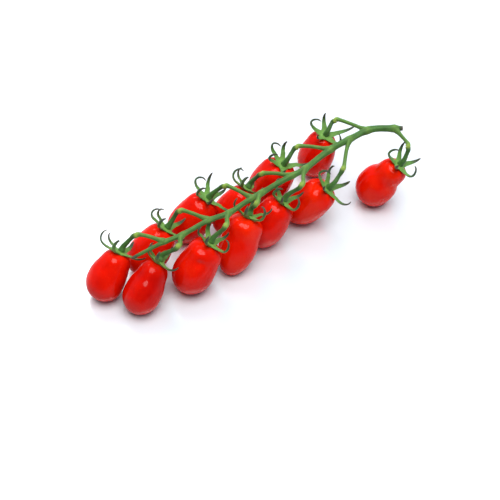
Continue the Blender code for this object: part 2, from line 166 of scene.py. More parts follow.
def layFruit():
    # every fruit rests on the surface, then neighbours are nudged apart until they clear
    fruits = []
    ts = np.linspace(0.02, 0.98, fruitLay["spheres"])
    for x, y, heading, lean, length, width, neck, widest in fruitTable:
        h, l = radians(heading), radians(lean)
        axis = vec(cos(h) * cos(l), sin(h) * cos(l), -sin(l))
        radii = width / 2 * fruitProfile(ts, neck, widest)
        fine = np.linspace(0, 1, fruitLay["fineSteps"])
        drop = (fine - 0.5) * length * axis[2] - width / 2 * fruitProfile(fine, neck, widest) * cos(l)
        fruits.append({"axis": axis, "length": length, "width": width, "neck": neck, "widest": widest,
                       "mid": vec(x, y, -drop.min() - layout["contactDepth"]), "radii": radii})
    for _ in range(fruitLay["nudges"]):
        moved = False
        for i, a in enumerate(fruits):
            for b in fruits[i + 1:]:
                pa = a["mid"] + np.outer((ts - 0.5) * a["length"], a["axis"])
                pb = b["mid"] + np.outer((ts - 0.5) * b["length"], b["axis"])
                gap = np.linalg.norm(pa[:, None] - pb[None], axis=2) - a["radii"][:, None] - b["radii"][None]
                k = np.unravel_index(gap.argmin(), gap.shape)
                if gap[k] < layout["clearance"]:
                    away = pb[k[1]] - pa[k[0]]
                    away[2] = 0
                    push = unit(away) * (layout["clearance"] - gap[k] + fruitLay["nudgeSpare"]) / 2
                    a["mid"] = a["mid"] - push
                    b["mid"] = b["mid"] + push
                    moved = True
        if not moved:
            break
    for f in fruits:
        f["top"] = f["mid"] - f["axis"] * f["length"] / 2
        f["spheres"] = f["mid"] + np.outer((ts - 0.5) * f["length"], f["axis"])
    return fruits


def keepClear(points, margin, centres, radii, fixedStart, fixedEnd, rounds=60, ease=0.2, lastRounds=3):
    # moves the free points of a path out of the spheres, and eases their neighbours along with them
    move = np.zeros_like(points)
    last = len(points) - 1
    free = range(fixedStart, len(points) - fixedEnd)
    for r in range(rounds):
        if r < rounds - lastRounds:
            for i in free:
                around = (move[i - 1] + move[i + 1]) / 2 if i < last else move[i - 1]
                move[i] += ease * (around - move[i])
        for i in free:
            away = points[i] + move[i] - centres
            dist = np.linalg.norm(away, axis=1)
            short = radii + margin[i] - dist
            k = short.argmax()
            if short[k] > 0:
                move[i] += away[k] / max(dist[k], 1e-6) * short[k]
    return points + move


def smoothPath(points, step, perSpan=12):
    # a Catmull-Rom curve through the points, as evenly spaced stations; a whole step is a count of them
    points = np.asarray(points, float)
    ends = np.vstack([2 * points[0] - points[1], points, 2 * points[-1] - points[-2]])
    fine = []
    for i in range(1, len(ends) - 2):
        p0, p1, p2, p3 = ends[i - 1:i + 3]
        for t in np.linspace(0, 1, perSpan, endpoint=False):
            fine.append(0.5 * (2 * p1 + (p2 - p0) * t + (2 * p0 - 5 * p1 + 4 * p2 - p3) * t ** 2
                               + (3 * p1 - p0 - 3 * p2 + p3) * t ** 3))
    fine = np.array(fine + [points[-1]])
    along = np.concatenate([[0], np.cumsum(np.linalg.norm(np.diff(fine, axis=0), axis=1))])
    count = step if isinstance(step, int) else max(4, int(round(along[-1] / step)) + 1)
    want = np.linspace(0, along[-1], count)
    return np.column_stack([np.interp(want, along, fine[:, k]) for k in range(3)]), want


def frames(path, startSide):
    # turning frames along a path that don't twist
    tangents = np.array([unit(t) for t in np.gradient(path, axis=0)])
    side = unit(startSide - tangents[0] * np.dot(startSide, tangents[0]))
    sides = []
    for t in tangents:
        side = unit(side - t * np.dot(side, t))
        sides.append(side)
    return tangents, np.array(sides)


def standing(point, up):
    # a place at a point with its own Z along up and its own X level, in millimetres
    x = unit(np.cross(vec(0, 0, 1), up)) if abs(up[2]) < 0.999 else vec(1, 0, 0)
    y = np.cross(up, x)
    place = Matrix([list(row) for row in np.column_stack([x, y, up])]).to_4x4()
    place.translation = [float(c) for c in point]
    return place


def calyxFrame(f):
    out = -f["axis"]
    b = unit(np.cross(vec(0, 0, 1), out))
    return out, b, np.cross(out, b)


def sepalPath(f, phase, length, curlStart, curlEnd, turn, obstacles):
    out, b, c = calyxFrame(f)
    n = layout["sepalStations"]
    hub = f["top"] + out * (layout["clearance"] + layout["calyxThickness"] / 2)
    points = [hub + layout["calyxRadius"] * (cos(radians(phase)) * b + sin(radians(phase)) * c)]
    for k in range(n - 1):
        s = (k + 0.5) / (n - 1)
        a = radians(phase + turn * s)
        lift = radians(curlStart + (curlEnd - curlStart) * s ** layout["sepalCurlPower"])
        outward = cos(a) * b + sin(a) * c
        points.append(points[-1] + length / (n - 1) * (cos(lift) * outward + sin(lift) * out))
    points = np.array(points)
    overOwn, overOthers = layout["sepalSpare"]
    margin = np.full(n, layout["sepalThickness"] / 2 + layout["clearance"] + overOwn)
    points = keepClear(points, margin, f["spheres"][1:], f["radii"][1:], 2, 0)
    margin = sepalWidth(np.linspace(0, 1, n)) / 2 + layout["clearance"] + overOthers
    return keepClear(points, margin, *obstacles, 3, 0)


def sepalWidth(s):
    # s runs from 0 at the base to 1 at the tip; the blade is fullest a little past its base
    blade = (1 - s) ** 1.1 * (0.8 + 0.7 * s)
    return layout["sepalTipWidth"] + (layout["sepalWidth"] - layout["sepalTipWidth"]) * blade


def sampleTube(path, radii, step=0.6):
    # a dense row of spheres that fills a tube
    centres, sizes = [], []
    for (p, q), (r, s) in zip(zip(path, path[1:]), zip(radii, radii[1:])):
        for t in np.linspace(0, 1, max(2, int(np.linalg.norm(q - p) / step) + 1)):
            centres.append(p + (q - p) * t)
            sizes.append(r + (s - r) * t)
    return np.array(centres), np.array(sizes)


def stemRadii(s):
    # s runs from 0 at the cut end to 1 at the dried tip
    taper = np.interp(s, *stemTaper)
    return layout["stemTipRadius"] + (layout["stemRadius"] - layout["stemTipRadius"]) * taper


stemLay = {
    "arch": 1.4,  # how far the middle of a side stem rises
    "kneeTurn": 1.1,  # how far the cut through the knuckle leans towards the stalk
    "kneeReach": (2.0, 1.9),  # straight run before and after the knuckle
    "calyxReach": 2.2,  # straight run of the stalk before the calyx
    "rootGap": 2.6,  # where a side stem comes out of the main stem
    "rootRadius": 1.5,
    "nodeReach": 3.0,
    "ownReach": 6.5,  # a sepal passes its own stalk and side stem this near to the calyx
    "mainStep": 5.0,
    "jointStep": 0.5,
    "wholeCount": 24,
    "sideStep": 2.2,
    "sidePlaces": (0, 0.3, 0.72, 1),
    "stalkStep": 2.0,
    "stalkPlaces": (0, 0.28, 0.6, 1),
    "stalkSwell": 0.15,
}


def layStems(fruits):
    # the paths of the main stem, the side stems, the stalks and the sepals
    fruitCentres = np.vstack([f["spheres"] for f in fruits])
    fruitRadii = np.concatenate([f["radii"] for f in fruits])
    calyxHeight = np.mean([f["top"][2] for f in fruits])
    path, along = smoothPath(np.array(mainPath) + vec(0, 0, calyxHeight), stemLay["mainStep"])
    radii = stemRadii(along / along[-1])
    dense, _ = smoothPath(path, stemLay["jointStep"])
    joints = [dense[np.abs(dense[:, 0] - x).argmin()] for _, x in knuckleTable]
    for j in joints:
        radii += layout["stemNodeSwell"] * hump(np.linalg.norm(path - j, axis=1), stemLay["nodeReach"])
    main = {"path": path, "radii": radii}
    mainCentres, mainRadii = sampleTube(path, radii)
    stems = []
    for i, f in enumerate(fruits):
        knuckle, start = f["top"] + vec(*knuckleTable[i][0]), joints[i]
        out = -f["axis"]
        end = f["top"] + out * (layout["calyxThickness"] + 2 * layout["clearance"])
        lift = (start + knuckle) / 2 + vec(0, 0, stemLay["arch"])
        cut = unit(unit(knuckle - start) + stemLay["kneeTurn"] * unit(end - knuckle))
        half = cut * layout["clearance"] / 2
        before, after = stemLay["kneeReach"]
        whole, _ = smoothPath([start, lift, knuckle - cut * before, knuckle - half], stemLay["wholeCount"])
        away = np.linalg.norm(whole - start, axis=1) > stemLay["rootGap"]
        sidePath, sideAlong = smoothPath(whole[away.argmax():], stemLay["sideStep"])
        slim = layout["sideStemRadius"]
        sideRadii = np.interp(sideAlong / sideAlong[-1], stemLay["sidePlaces"],
                              [stemLay["rootRadius"], slim, slim, layout["knuckleRadius"]])
        bends = [knuckle + half, knuckle + cut * after, end + out * stemLay["calyxReach"], end]
        stalkPath, stalkAlong = smoothPath(bends, stemLay["stalkStep"])
        swollen = layout["stalkRadius"] + stemLay["stalkSwell"]
        stalkRadii = np.interp(
            stalkAlong / stalkAlong[-1], stemLay["stalkPlaces"],
            [layout["knuckleRadius"], layout["stalkRadius"], swollen, layout["stalkEndRadius"]])
        margin = np.full(len(stalkPath), layout["stalkEndRadius"] + layout["clearance"])
        stalkPath = keepClear(stalkPath, margin, fruitCentres, fruitRadii, 1, 2)
        stems.append({"start": start, "whole": whole, "knuckle": knuckle, "cut": cut, "stalk": stalkPath,
                      "spheres": (sampleTube(sidePath, sideRadii), sampleTube(stalkPath, stalkRadii))})
    sepals, done = [], []
    for i, f in enumerate(fruits):
        centres, sizes = [mainCentres], [mainRadii]
        for j, stem in enumerate(stems):
            for c, r in stem["spheres"]:
                keep = np.linalg.norm(c - f["top"], axis=1) > (stemLay["ownReach"] if j == i else 0)
                centres.append(c[keep])
                sizes.append(r[keep])
            if j != i:
                centres.append(fruits[j]["spheres"])
                sizes.append(fruits[j]["radii"])
        for p in done:
            centres.append(p)
            sizes.append(np.full(len(p), layout["sepalWidth"] / 2))
        obstacles = (np.vstack(centres), np.concatenate(sizes))
        paths = [sepalPath(f, *s, obstacles) for s in sepalTable[i]]
        done += paths
        sepals.append(paths)
    return main, joints, stems, sepals


def newMaterial(name):
    material = bpy.data.materials.new(name)
    material.use_nodes = True
    tree = material.node_tree
    return material, tree, tree.nodes["Principled BSDF"]


def node(tree, kind, inputs):
    # one node, with each input either linked or set to a value
    made = tree.nodes.new(kind)
    for socket, source in inputs.items():
        if hasattr(source, "node"):
            tree.links.new(source, made.inputs[socket])
        else:
            made.inputs[socket].default_value = source
    return made


def ramp(tree, source, stops):
    made = tree.nodes.new("ShaderNodeValToRGB")
    tree.links.new(source, made.inputs[0])
    elements = made.color_ramp.elements
    stops = list(stops)
    while len(elements) < len(stops):
        elements.new(0.5)
    for element, (place, colour) in zip(elements, stops):
        element.position = place
        element.color = (*colour, 1)
    return made.outputs[0]


def fade(tree, source, start, end):
    # from 0 at start to 1 at end, or the other way round where start is the larger
    black, white = (0, 0, 0), (1, 1, 1)
    stops = [(start, black), (end, white)] if start < end else [(end, white), (start, black)]
    return ramp(tree, source, stops)


def mixColour(tree, amount, under, over):
    made = tree.nodes.new("ShaderNodeMix")
    made.data_type = "RGBA"
    factor, first, second, result = 0, 6, 7, 2  # the colour sockets among the node's own
    tree.links.new(amount, made.inputs[factor])
    tree.links.new(under, made.inputs[first])
    made.inputs[second].default_value = (*over, 1)
    return made.outputs[result]


def maths(tree, kind, a, b=None, c=None, clamp=False):
    made = tree.nodes.new("ShaderNodeMath")
    made.operation = kind
    made.use_clamp = clamp
    for index, value in enumerate((a, b, c)):
        if value is None:
            continue
        if hasattr(value, "node"):
            tree.links.new(value, made.inputs[index])
        else:
            made.inputs[index].default_value = value
    return made.outputs[0]


def setShader(shader, settings):
    for socket, value in settings.items():
        shader.inputs[socket].default_value = value


def readTint(tree):
    tint = tree.nodes.new("ShaderNodeAttribute")
    tint.attribute_name = "tint"
    return node(tree, "ShaderNodeSeparateColor", {"Color": tint.outputs["Color"]}).outputs[:3]


# scales are per metre, distances in metres
skinLook = {
    "deepRed": (0.39, 0.0012, 0.0004),
    "brightRed": (0.69, 0.0065, 0.0005),
    "orangeRed": (0.84, 0.030, 0.0012),
    "fleck": (0.95, 0.16, 0.04),
    "scar": (0.20, 0.09, 0.03),
    "stops": (0.18, 0.44, 0.85),  # places of the three reds on the tone from deep to pale
    "cloud": {"Scale": 55.0, "Detail": 3.0, "Roughness": 0.55},
    "mottle": {"Scale": 420.0, "Detail": 4.0, "Roughness": 0.6},
    "fine": {"Scale": 900.0, "Detail": 3.0},
    "flecks": {"Scale": 1150.0, "Randomness": 1.0},
    "cloudShare": 0.52,
    "mottleShare": 0.08,
    "paleShare": 0.30,
    "shoulderWarmth": 0.55,
    "blossomWarmth": 0.35,
    "fleckStrength": 0.30,
    "scarStrength": 0.8,
    "roughness": 0.14,
    "roughnessSpread": 0.06,
    "bumpHeights": (1.6, 0.03),  # broad and fine
    "bump": {"Strength": 0.2, "Distance": 0.0006},
    "shader": {
        "IOR": 1.06,
        "Coat Weight": 0.30,
        "Coat Roughness": 0.10,
        "Coat IOR": 1.48,
        "Subsurface Weight": 0.05,
        "Subsurface Radius": (1.0, 0.18, 0.08),
        "Subsurface Scale": 0.0025,
    },
}


def makeSkin():
    # the tint holds the place along the fruit, its paleness and how near its calyx end is
    material, tree, shader = newMaterial("ripeSkin")
    place = {"Vector": tree.nodes.new("ShaderNodeTexCoord").outputs["Object"]}
    along, pale, shoulder = readTint(tree)
    cloud = node(tree, "ShaderNodeTexNoise", {**place, **skinLook["cloud"]}).outputs["Fac"]
    mottle = node(tree, "ShaderNodeTexNoise", {**place, **skinLook["mottle"]}).outputs["Fac"]
    tone = maths(tree, "ADD", maths(tree, "MULTIPLY", cloud, skinLook["cloudShare"]),
                 maths(tree, "MULTIPLY", mottle, skinLook["mottleShare"]))
    tone = maths(tree, "ADD", tone, maths(tree, "MULTIPLY", pale, skinLook["paleShare"]), clamp=True)
    reds = (skinLook["deepRed"], skinLook["brightRed"], skinLook["orangeRed"])
    red = ramp(tree, tone, zip(skinLook["stops"], reds))
    collar = maths(tree, "MULTIPLY", shoulder, skinLook["shoulderWarmth"])
    red = mixColour(tree, collar, red, skinLook["orangeRed"])
    blossom = maths(tree, "MULTIPLY", fade(tree, along, 0.90, 1.0), skinLook["blossomWarmth"])
    red = mixColour(tree, blossom, red, skinLook["orangeRed"])
    flecks = node(tree, "ShaderNodeTexVoronoi", {**place, **skinLook["flecks"]})
    spot = fade(tree, flecks.outputs["Distance"], 0.20, 0.10)
    spot = maths(tree, "MULTIPLY", maths(tree, "MULTIPLY", spot, fade(tree, cloud, 0.40, 0.62)),
                 skinLook["fleckStrength"])
    red = mixColour(tree, spot, red, skinLook["fleck"])
    scar = maths(tree, "MULTIPLY", fade(tree, along, 0.9965, 0.9985), skinLook["scarStrength"])
    red = mixColour(tree, scar, red, skinLook["scar"])
    tree.links.new(red, shader.inputs["Base Color"])
    rough = maths(tree, "ADD", maths(tree, "MULTIPLY", mottle, skinLook["roughnessSpread"]),
                  skinLook["roughness"])
    tree.links.new(rough, shader.inputs["Roughness"])
    setShader(shader, skinLook["shader"])
    fine = node(tree, "ShaderNodeTexNoise", {**place, **skinLook["fine"]}).outputs["Fac"]
    broadHeight, fineHeight = skinLook["bumpHeights"]
    height = maths(tree, "ADD", maths(tree, "MULTIPLY", cloud, broadHeight),
                   maths(tree, "MULTIPLY", fine, fineHeight))
    bump = node(tree, "ShaderNodeBump", {"Height": height, **skinLook["bump"]})
    tree.links.new(bump.outputs[0], shader.inputs["Normal"])
    return material


greenLook = {
    "dark": (0.026, 0.082, 0.012),
    "mid": (0.048, 0.140, 0.024),
    "bright": (0.125, 0.310, 0.054),
    "warm": (0.360, 0.480, 0.070),
    "dryGreen": (0.030, 0.046, 0.022),
    "dry": (0.085, 0.062, 0.040),
    "stops": (0.18, 0.48, 0.86),  # places of the three greens on the tone from dark to bright
    "broad": {"Scale": 190.0, "Detail": 4.0, "Roughness": 0.6},
    "fine": {"Scale": 1300.0, "Detail": 5.0, "Roughness": 0.65},
    "broadShare": 0.55,
    "fineShare": 0.35,
    "lightShare": 0.70,
    "offset": -0.32,
    "warmth": 0.85,
    "dryEdge": (0.5, -0.25),  # how ragged the edge of a dry patch is
    "roughness": 0.46,
    "roughnessSpread": 0.25,
    "broadHeight": 1.5,
    "bump": {"Strength": 0.45, "Distance": 0.00035},
    "shader": {
        "Subsurface Weight": 0.08,
        "Subsurface Radius": (0.5, 1.0, 0.3),
        "Subsurface Scale": 0.0008,
        "Sheen Weight": 0.12,
        "Sheen Roughness": 0.45,
        "Sheen Tint": (0.85, 1.0, 0.75, 1),
        "Specular IOR Level": 0.32,
    },
}


def makeGreen(name, bias):
    # bias lifts or lowers the whole green; the tint holds dryness, warmth and lightness, the lightness
    # including painted shade in the stems' rib grooves and painted light on their crests
    material, tree, shader = newMaterial(name)
    place = {"Vector": tree.nodes.new("ShaderNodeTexCoord").outputs["Object"]}
    dry, warm, light = readTint(tree)
    broad = node(tree, "ShaderNodeTexNoise", {**place, **greenLook["broad"]}).outputs["Fac"]
    fine = node(tree, "ShaderNodeTexNoise", {**place, **greenLook["fine"]}).outputs["Fac"]
    tone = maths(tree, "ADD", maths(tree, "MULTIPLY", broad, greenLook["broadShare"]),
                 maths(tree, "MULTIPLY", fine, greenLook["fineShare"]))
    lift = maths(tree, "MULTIPLY_ADD", light, greenLook["lightShare"], bias + greenLook["offset"])
    tone = maths(tree, "ADD", tone, lift, clamp=True)
    greens = (greenLook["dark"], greenLook["mid"], greenLook["bright"])
    green = ramp(tree, tone, zip(greenLook["stops"], greens))
    green = mixColour(tree, maths(tree, "MULTIPLY", warm, greenLook["warmth"]), green, greenLook["warm"])
    ragged = maths(tree, "MULTIPLY_ADD", fine, *greenLook["dryEdge"])
    ragged = maths(tree, "MULTIPLY", ragged, maths(tree, "GREATER_THAN", dry, 0.02))
    dryness = maths(tree, "ADD", dry, ragged, clamp=True)
    green = mixColour(tree, fade(tree, dryness, 0.15, 0.55), green, greenLook["dryGreen"])
    green = mixColour(tree, fade(tree, dryness, 0.60, 0.95), green, greenLook["dry"])
    tree.links.new(green, shader.inputs["Base Color"])
    rough = maths(tree, "MULTIPLY_ADD", fine, greenLook["roughnessSpread"], greenLook["roughness"])
    tree.links.new(rough, shader.inputs["Roughness"])
    setShader(shader, greenLook["shader"])
    height = maths(tree, "ADD", fine, maths(tree, "MULTIPLY", broad, greenLook["broadHeight"]))
    bump = node(tree, "ShaderNodeBump", {"Height": height, **greenLook["bump"]})
    tree.links.new(bump.outputs[0], shader.inputs["Normal"])
    return material


def finishPiece(name, bm, material, cadNode):
    # from layout millimetres to the frame's metres, then dressed and tied to the model
    bmesh.ops.translate(bm, vec=[-c for c in origin], verts=bm.verts)
    bmesh.ops.scale(bm, vec=(mm, mm, mm), verts=bm.verts)
    bmesh.ops.recalc_face_normals(bm, faces=bm.faces)
    mesh = bpy.data.meshes.new(name)
    bm.to_mesh(mesh)
    bm.free()
    mesh.shade_smooth()
    mesh.materials.append(material)
    piece = bpy.data.objects.new(name, mesh)
    bpy.context.scene.collection.objects.link(piece)
    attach(piece, "root")
    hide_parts(cadNode)


# steps round and along a fruit, then its shape, as parts of its size down to the unevenness and
# in millimetres below that
fruitMake = {
    "around": 64,
    "along": 48,
    "lobes": {"place": 0.10, "reach": 0.17},
    "bodyLobes": {"share": 0.35, "place": 0.5, "reach": 0.4},  # one lobe fewer, fainter
    "shoulder": {"place": 0.11, "reach": 0.13},
    "waistReach": 0.10,
    "unevenness": 0.014,
    "dimple": {"depth": 0.9, "reach": 2.6},  # at the stalk
    "tip": {"nub": 0.55, "nubReach": 0.9, "rise": 0.25, "riseReach": 3.2},  # at the blossom end
    "collarReach": 4.5,  # how far the warmer skin round the stalk goes
    "restEase": 0.4,  # how softly it flattens where it rests
}

# of each fruit: lobes, their depth and turn, oval and its turn, bend in mm and its turn, place and depth
# of the waist, extra fullness of the shoulder
shapeTable = [
    (3, 0.018, 40, 0.020, 20, 0.5, 60, 0.30, 0.00, 0.09),
    (4, 0.026, 10, 0.015, 70, 0.9, 130, 0.30, 0.03, 0.09),
    (3, 0.022, 90, 0.020, 10, 0.4, 250, 0.30, 0.00, 0.05),
    (3, 0.040, 65, 0.020, 50, 0.7, 130, 0.30, 0.00, 0.16),
    (4, 0.030, 30, 0.030, 100, 0.6, 200, 0.30, 0.00, 0.07),
    (5, 0.026, 20, 0.020, 0, 0.9, 300, 0.34, 0.02, 0.13),
    (3, 0.020, 55, 0.020, 30, 0.5, 80, 0.30, 0.00, 0.05),
    (4, 0.028, 0, 0.020, 60, 0.6, 120, 0.30, 0.00, 0.10),
    (5, 0.034, 15, 0.020, 90, 0.5, 10, 0.30, 0.00, 0.06),
    (5, 0.040, 35, 0.025, 40, 0.6, 220, 0.30, 0.00, 0.10),
    (4, 0.030, 60, 0.020, 15, 0.4, 150, 0.30, 0.00, 0.05),
    (4, 0.030, 25, 0.020, 75, 0.6, 40, 0.33, 0.075, 0.09),
]

# how pale the skin of each fruit is, from 0, the deepest red, to 1
paleTable = [0.3, 0.0, 0.6, 0.4, 0.5, 0.6, 0.5, 0.4, 0.5, 0.65, 0.3, 0.55]

# dents of some fruit: fruit number, place along it, place round it in degrees, radius and depth in mm
dentTable = [
    (4, 0.25, 137, 2.0, 1.2),
    (3, 0.12, 150, 3.5, 0.7),
    (6, 0.15, 155, 3.2, 0.7),
    (9, 0.10, 200, 3.0, 0.6),
    (10, 0.12, 190, 3.2, 0.8),
    (11, 0.10, 175, 3.0, 0.8),
    (12, 0.35, 270, 4.4, 1.0),
    (12, 0.31, 90, 4.0, 0.6),
]


def growFruit(i, f, skin):
    lobes, depth, lobeTurn, oval, ovalTurn, bend, bendTurn, waist, pinch, shoulder = shapeTable[i]
    count = fruitMake["along"]
    ts = 0.5 - 0.5 * np.cos(pi * np.arange(count + 1) / count)
    rs = f["width"] / 2 * fruitProfile(ts, f["neck"], f["widest"])
    bm = bmesh.new()
    tint = bm.verts.layers.float_color.new("tint")
    outline = [bm.verts.new((r, 0, -t * f["length"])) for t, r in zip(ts, rs)]
    edges = [bm.edges.new(pair) for pair in zip(outline, outline[1:])]
    bmesh.ops.spin(bm, geom=outline + edges, cent=(0, 0, 0), axis=(0, 0, 1), angle=2 * pi,
                   steps=fruitMake["around"], use_merge=True)
    bmesh.ops.remove_doubles(bm, verts=bm.verts, dist=1e-3)
    seed = Vector((i * 7.3, i * 3.1, i * 5.7))  # a different part of the noise for each fruit
    width = f["width"] / 2
    dents = []
    for number, t, a, reach, deep in dentTable:
        if number == i + 1:
            r = width * float(fruitProfile(np.array([t]), f["neck"], f["widest"])[0])
            centre = Vector((r * cos(radians(a)), r * sin(radians(a)), -t * f["length"]))
            dents.append((centre, reach, deep))
    shape, dimple, tip = fruitMake, fruitMake["dimple"], fruitMake["tip"]
    for v in bm.verts:
        r, a, t = hypot(v.co.x, v.co.y), atan2(v.co.y, v.co.x), -v.co.z / f["length"]
        for centre, reach, deep in dents:
            v.co -= Vector((cos(a), sin(a), 0)) * deep * hump((v.co - centre).length, reach)
        upper = hump(t - shape["lobes"]["place"], shape["lobes"]["reach"])
        lobe = depth * cos(lobes * a + radians(lobeTurn)) * upper
        body = hump(t - shape["bodyLobes"]["place"], shape["bodyLobes"]["reach"])
        lobe += shape["bodyLobes"]["share"] * depth * cos((lobes - 1) * a + radians(lobeTurn * 2)) * body
        lobe += oval * cos(2 * a + radians(ovalTurn)) * sin(pi * min(1, max(0, t)))
        lobe += (shoulder * hump(t - shape["shoulder"]["place"], shape["shoulder"]["reach"])
                 - pinch * hump(t - waist, shape["waistReach"]))
        rough = shape["unevenness"] * noise.noise(Vector((cos(a), sin(a), 2.2 * t)) * 1.6 + seed)
        swell = 1 + lobe + rough
        v.co.x *= swell
        v.co.y *= swell
        v.co.x += bend * cos(radians(bendTurn)) * sin(pi * t) ** 2
        v.co.y += bend * sin(radians(bendTurn)) * sin(pi * t) ** 2
        if t < 0.3:
            v.co.z -= dimple["depth"] * hump(r, dimple["reach"])
        if t > 0.7:
            v.co.z -= tip["nub"] * hump(r, tip["nubReach"]) - tip["rise"] * hump(r, tip["riseReach"])
        collar = float(hump(r, shape["collarReach"])) if t < 0.3 else 0.0
        v[tint] = (t, paleTable[i], collar, 1)
    bmesh.ops.transform(bm, matrix=standing(f["top"], -f["axis"]), verts=bm.verts)
    ease = fruitMake["restEase"]
    for v in bm.verts:
        v.co.z = max(0.0, (v.co.z + hypot(v.co.z, ease)) / 2 - ease / 4)
    finishPiece("fruitSkin_%02d" % (i + 1), bm, skin, "tomato_%02d" % (i + 1))


def growAlong(bm, path, sides, section, startSide, tintOf):
    # a ring extruded from station to station; section gives its shape, tintOf its tint
    tint = bm.verts.layers.float_color.get("tint") or bm.verts.layers.float_color.new("tint")
    turn = bm.verts.layers.float.get("turn") or bm.verts.layers.float.new("turn")
    tangents, across = frames(path, startSide)
    before = set(bm.edges)
    ring = bmesh.ops.create_circle(bm, cap_ends=False, segments=sides, radius=1)["verts"]
    edges = [e for e in bm.edges if e not in before]
    for v in ring:
        v[turn] = atan2(v.co.y, v.co.x)
    firstEdges = edges
    for k in range(len(path)):
        if k:
            grown = bmesh.ops.extrude_edge_only(bm, edges=edges)["geom"]
            ring = [g for g in grown if isinstance(g, bmesh.types.BMVert)]
            inRing = set(ring)
            edges = [g for g in grown if isinstance(g, bmesh.types.BMEdge)
                     and g.verts[0] in inRing and g.verts[1] in inRing]
        up = np.cross(tangents[k], across[k])
        for v in ring:
            x, y = section(k, v[turn])
            v.co = path[k] + across[k] * x + up * y
            v[tint] = (*tintOf(k, v[turn]), 1)
    return firstEdges, edges


def closeEnds(bm, *loops):
    for loop in loops:
        bmesh.ops.holes_fill(bm, edges=loop, sides=0)


mainMake = {
    "sides": 20,
    "step": 0.8,
    "ribs": 5,
    "ribDepth": 0.05,
    "twist": 0.035,  # radians per millimetre
    "grain": 0.03,
    "wander": 0.04,
    "nodeSwell": 0.42,
    "nodeReach": 2.6,
    "stubLength": 3.6,  # the shrunken stub at the cut end
    "stubFace": 0.6,
    "stubShrink": 0.34,
    "cutDryness": 1.15,
    "cutDryReach": 2.4,
    "tipDryness": 0.9,
    "tipDryPlace": 0.965,
    "tipDrySpan": 0.035,
    "nodeTintReach": 2.2,
    "nodeWarmth": 0.14,
    "nodeLight": 0.12,
    # painted shade: rib grooves darker and rib crests lighter in colour
    "paintedCrestLight": 0.22,
    "light": 0.30,
}


def growMainStem(main, joints, green):
    path, along = smoothPath(main["path"], mainMake["step"])
    s = along / along[-1]
    radii = stemRadii(s)
    for j in joints:
        radii = radii + mainMake["nodeSwell"] * hump(np.linalg.norm(path - j, axis=1), mainMake["nodeReach"])
    stub = np.clip(1 - (along - mainMake["stubFace"]) / mainMake["stubLength"], 0, 1) ** 0.5
    radii = radii * (1 - mainMake["stubShrink"] * stub)
    shift = [noise.noise(Vector((a * 0.16, 0, 0))) * mainMake["wander"] for a in along]
    bm = bmesh.new()

    def ribAt(k, a):
        return cos(mainMake["ribs"] * (a + along[k] * mainMake["twist"]))

    def section(k, a):
        rib = 1 + mainMake["ribDepth"] * ribAt(k, a)
        rib += mainMake["grain"] * noise.noise(Vector((cos(a) * 1.3, sin(a) * 1.3, along[k] * 0.35)))
        r = radii[k] * rib * (1 + shift[k])
        return r * cos(a), r * sin(a)

    def tintOf(k, a):
        cutEnd = max(0.0, mainMake["cutDryness"] - along[k] / mainMake["cutDryReach"])
        driedTip = max(0.0, (s[k] - mainMake["tipDryPlace"]) / mainMake["tipDrySpan"])
        driedTip *= mainMake["tipDryness"]
        nearNode = max(hump(np.linalg.norm(path[k] - j), mainMake["nodeTintReach"]) for j in joints)
        # painted shade in the grooves between the ribs, with the crests painted lighter
        paintedCrestMask = 0.5 + 0.5 * ribAt(k, a)
        light = mainMake["light"] + mainMake["paintedCrestLight"] * paintedCrestMask + mainMake["nodeLight"] * nearNode
        return min(1, cutEnd + driedTip), mainMake["nodeWarmth"] * nearNode, light

    first, last = growAlong(bm, path, mainMake["sides"], section, vec(0, 0, 1), tintOf)
    closeEnds(bm, first, last)
    finishPiece("mainStemSkin", bm, green, "main_stem")


sideMake = {
    "sides": 16,
    "step": 0.5,
    "ribs": 4,
    "ribDepth": 0.04,
    "twist": 0.12,  # radians per millimetre
    "grain": 0.04,
    "knuckleReach": 2.3,
    "hidden": 0.7,  # part of the main stem's radius that covers its start
    "flare": 0.95,  # where it grows out of the main stem
    "flareReach": 2.4,
    "flarePower": 1.4,
    "fullFlareLength": 11,  # a shorter side stem flares less
    "knuckleWarmth": 0.75,
    "knuckleWarmReach": 1.6,
    "warmth": 0.10,
    "light": 0.34,
    # painted shade: rib grooves darker and rib crests lighter in colour
    "paintedCrestLight": 0.18,
    "endLight": 0.15,
}


def growSideStem(i, stem, mainRadius, green):
    path, along = smoothPath(stem["whole"], sideMake["step"])
    total = along[-1]
    s = along / total
    knuckle = hump(total - along, sideMake["knuckleReach"])
    radii = layout["sideStemRadius"] + (layout["knuckleRadius"] - layout["sideStemRadius"]) * knuckle
    flare = sideMake["flare"] * min(1, total / sideMake["fullFlareLength"]) ** 1.5
    outside = np.maximum(0, along - mainRadius * sideMake["hidden"])
    radii = radii + flare * np.exp(-(outside / sideMake["flareReach"]) ** sideMake["flarePower"])
    bm = bmesh.new()

    def ribAt(k, a):
        return cos(sideMake["ribs"] * a + along[k] * sideMake["twist"])

    def section(k, a):
        rib = 1 + sideMake["ribDepth"] * ribAt(k, a)
        rib += sideMake["grain"] * noise.noise(Vector((cos(a) + i * 3, sin(a), along[k] * 0.4)))
        return radii[k] * rib * cos(a), radii[k] * rib * sin(a)

    def tintOf(k, a):
        warm = sideMake["knuckleWarmth"] * hump(total - along[k], sideMake["knuckleWarmReach"])
        warm += sideMake["warmth"]
        # painted shade in the grooves between the ribs, with the crests painted lighter
        paintedCrestMask = 0.5 + 0.5 * ribAt(k, a)
        light = sideMake["light"] + sideMake["paintedCrestLight"] * paintedCrestMask + sideMake["endLight"] * s[k]
        return 0.0, float(warm), light

    first, last = growAlong(bm, path, sideMake["sides"], section, vec(0, 0, 1), tintOf)
    closeEnds(bm, first, last)
    finishPiece("sideStemSkin_%02d" % (i + 1), bm, green, "side_stem_%02d" % (i + 1))


